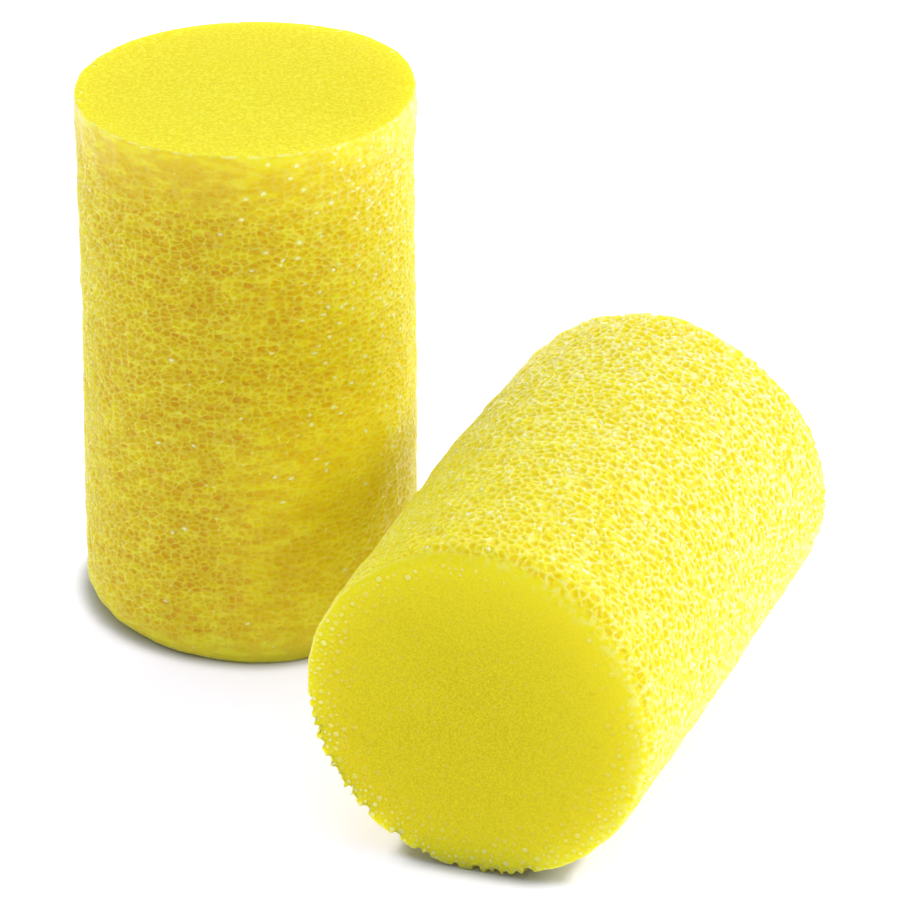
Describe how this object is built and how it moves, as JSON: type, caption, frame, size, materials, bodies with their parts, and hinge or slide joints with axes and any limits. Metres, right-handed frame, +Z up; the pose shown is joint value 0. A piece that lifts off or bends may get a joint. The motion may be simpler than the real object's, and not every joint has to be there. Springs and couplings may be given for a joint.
{
  "type": "foam ear plugs",
  "caption": "Two loose, uncorded cylindrical foam ear plugs: one standing on its end, the other lying on its side.",
  "frame": {"origin": "centre of the standing plug's lower end, on the surface that both plugs rest on", "axes": "+Z up along the standing plug; +Y away from the viewer, along the set's longest side"},
  "size_m": [0.0278, 0.0304, 0.0206],
  "materials": {
    "yellow_foam": "soft open-cell foam, matte, with smooth skinned ends"
  },
  "bodies": {
    "standing_plug": {"standing_plug": "yellow_foam"},
    "lying_plug": {"lying_plug": "yellow_foam"}
  },
  "joints": [
    {"name": "lying_plug_lift", "type": "slide", "parent": "standing_plug", "child": "lying_plug", "axis": [0, 0, 1], "range_m": [0, 0.04]}
  ]
}
